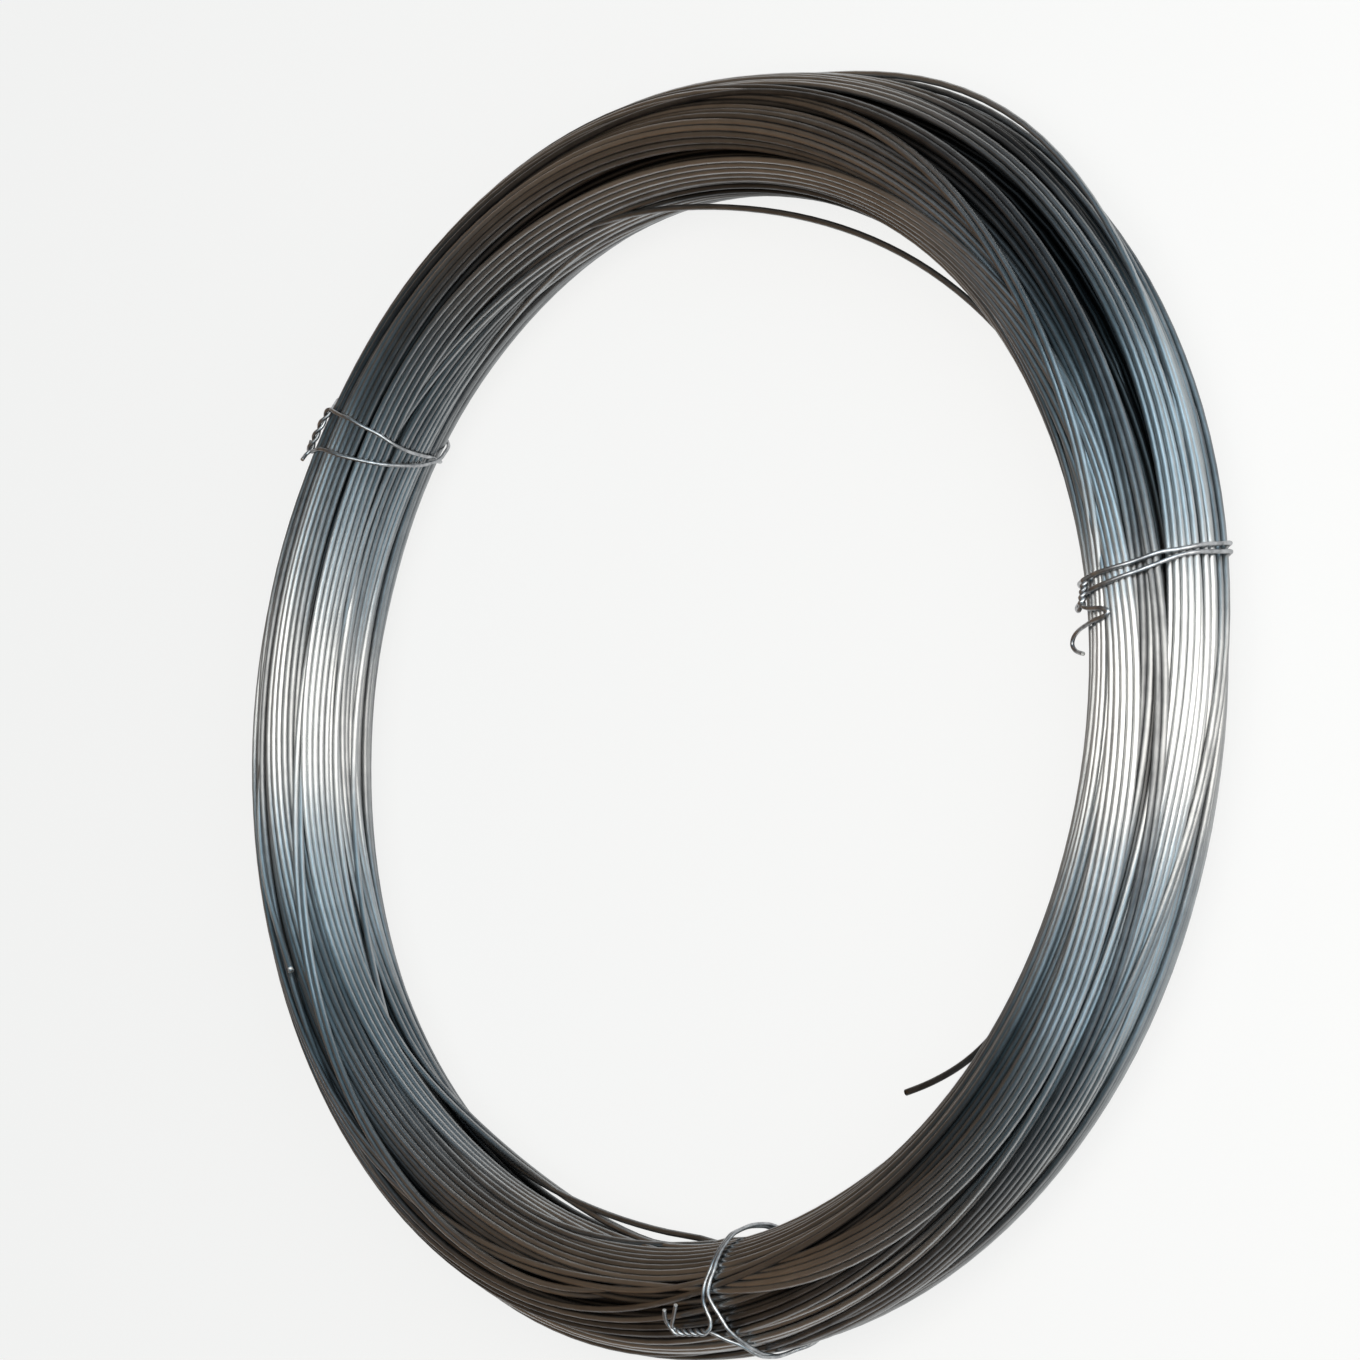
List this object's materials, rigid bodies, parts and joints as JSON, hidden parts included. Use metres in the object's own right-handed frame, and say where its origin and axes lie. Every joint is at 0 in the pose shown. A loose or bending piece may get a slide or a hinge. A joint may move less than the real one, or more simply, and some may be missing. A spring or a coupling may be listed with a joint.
{
  "type": "coil of high-tensile wire",
  "caption": "Round coil of bright galvanised high-tensile steel wire, lying flat, wound as one bundle with an open eye and bound by doubled tie wires.",
  "frame": {"origin": "on the coil's own axis, in the plane of the floor that it lies on", "axes": "+Z along the coil's axis, upwards as it lies; +X towards the tie at the right of the picture's view, +Y towards the top of the picture's view"},
  "size_m": [0.5027, 0.5, 0.0638],
  "materials": {
    "coil_wire": "zinc-coated spring-hard steel wire, drawn, satin bright",
    "tie_wire": "galvanised soft binding wire, satin"
  },
  "bodies": {
    "root": {"wire_coil": "coil_wire", "tie_wire_1": "tie_wire", "tie_wire_2": "tie_wire", "tie_wire_3": "tie_wire"}
  },
  "joints": []
}
